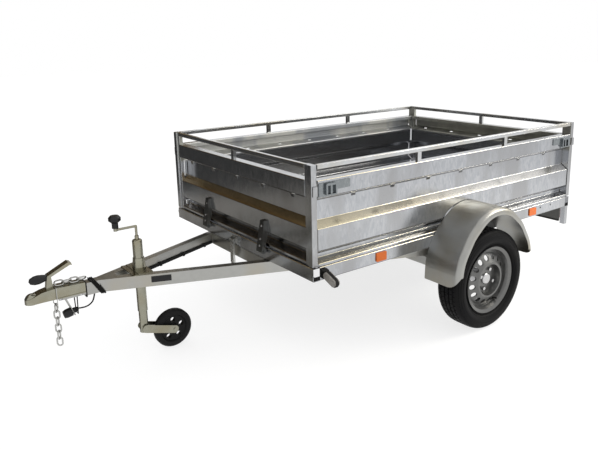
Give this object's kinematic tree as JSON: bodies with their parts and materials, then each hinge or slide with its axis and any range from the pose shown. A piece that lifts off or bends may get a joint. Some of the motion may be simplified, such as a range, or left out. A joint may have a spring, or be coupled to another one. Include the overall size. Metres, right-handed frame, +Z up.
{
  "type": "utility trailer",
  "caption": "Single-axle tipping box trailer with ribbed galvanised walls, drop gates, guard rails, V drawbar, ball coupling and jockey wheel.",
  "frame": {"origin": "on the ground at the middle of the trailer's overall length and width", "axes": "+X forward along the drawbar to the coupling, +Y to the trailer's left, +Z up from the ground"},
  "size_m": [3.154, 1.85, 1.002],
  "materials": {
    "galvanised": "hot-dip galvanised sheet with faint spangle",
    "dark_galvanised": "dull dark galvanised steel",
    "fender_steel": "satin galvanised fender sheet",
    "dark_steel": "black coated steel",
    "zinc": "yellow passivated zinc plating",
    "chain_steel": "bright zinc plated wire",
    "silver_paint": "silver painted pressed wheel",
    "black_plastic": "black moulded plastic",
    "black_rubber": "black rubber",
    "tyre": "black tyre rubber",
    "plywood": "dark film-faced plywood",
    "amber": "amber reflector plastic",
    "clear_lens": "clear lamp plastic",
    "red_lens": "red lamp plastic"
  },
  "bodies": {
    "chassis": {"drawbar_beams": "galvanised", "drawbar_nose": "galvanised", "chassis_cross_beams": "galvanised", "axle_tube": "galvanised", "swing_arms": "dark_steel", "tilt_forks": "galvanised", "coupling": "zinc", "coupling_lever": "zinc", "coupling_grip": "black_plastic", "chain_hoop": "chain_steel", "safety_chain": "chain_steel", "plug": "black_plastic", "plug_holder": "chain_steel", "plug_cable": "black_rubber", "cable_turns": "black_rubber", "wiring_loom": "black_rubber", "beam_plate": "black_plastic", "jockey_clamp": "zinc"},
    "bed": {"side_walls": "galvanised", "side_rails": "galvanised", "sills": "galvanised", "cross_members": "galvanised", "floor": "plywood", "hinge_leaves": "dark_galvanised", "latches": "galvanised", "fenders": "fender_steel", "side_reflectors": "amber", "marker_arms": "black_rubber", "marker_lenses": "clear_lens", "rear_brackets": "galvanised", "lamp_board": "dark_galvanised", "tail_lamps": "black_plastic", "tail_lamp_lenses": "red_lens", "tilt_lugs": "galvanised", "tilt_lock": "dark_galvanised"},
    "front_gate": {"front_gate_panel": "galvanised", "front_gate_posts": "galvanised", "front_gate_rail": "galvanised", "front_gate_straps": "dark_galvanised"},
    "tailgate": {"tailgate_panel": "galvanised", "tailgate_posts": "galvanised", "tailgate_rail": "galvanised", "tailgate_straps": "dark_galvanised"},
    "wheel_left": {"tyre_left": "tyre", "rim_left": "silver_paint", "hub_left": "zinc"},
    "wheel_right": {"tyre_right": "tyre", "rim_right": "silver_paint", "hub_right": "zinc"},
    "jockey_mast": {"jockey_tube": "zinc", "jockey_crank": "zinc", "jockey_knob": "black_plastic"},
    "jockey_fork": {"jockey_leg": "zinc"},
    "jockey_roller": {"jockey_wheel": "black_rubber"}
  },
  "joints": [
    {"name": "wheel_left_spin", "type": "hinge", "parent": "chassis", "child": "wheel_left", "pos_m": [-0.527, 0.824, 0.272], "axis": [0, 1, 0], "continuous": true},
    {"name": "wheel_right_spin", "type": "hinge", "parent": "chassis", "child": "wheel_right", "pos_m": [-0.527, -0.824, 0.272], "axis": [0, 1, 0], "continuous": true},
    {"name": "bed_tilt", "type": "hinge", "parent": "chassis", "child": "bed", "pos_m": [-0.567, 0, 0.38], "axis": [0, -1, 0], "range_deg": [0, 18]},
    {"name": "front_gate_hinge", "type": "hinge", "parent": "bed", "child": "front_gate", "pos_m": [0.523, 0, 0.51], "axis": [0, 1, 0], "range_deg": [0, 90]},
    {"name": "tailgate_hinge", "type": "hinge", "parent": "bed", "child": "tailgate", "pos_m": [-1.565, 0, 0.51], "axis": [0, -1, 0], "range_deg": [0, 90]},
    {"name": "jockey_lift", "type": "slide", "parent": "chassis", "child": "jockey_mast", "axis": [0, 0, 1], "range_m": [0, 0.15]},
    {"name": "jockey_swivel", "type": "hinge", "parent": "jockey_mast", "child": "jockey_fork", "pos_m": [1.046, 0, 0.3], "axis": [0, 0, 1], "continuous": true},
    {"name": "jockey_spin", "type": "hinge", "parent": "jockey_fork", "child": "jockey_roller", "pos_m": [0.896, 0, 0.1], "axis": [0, 1, 0], "continuous": true}
  ]
}
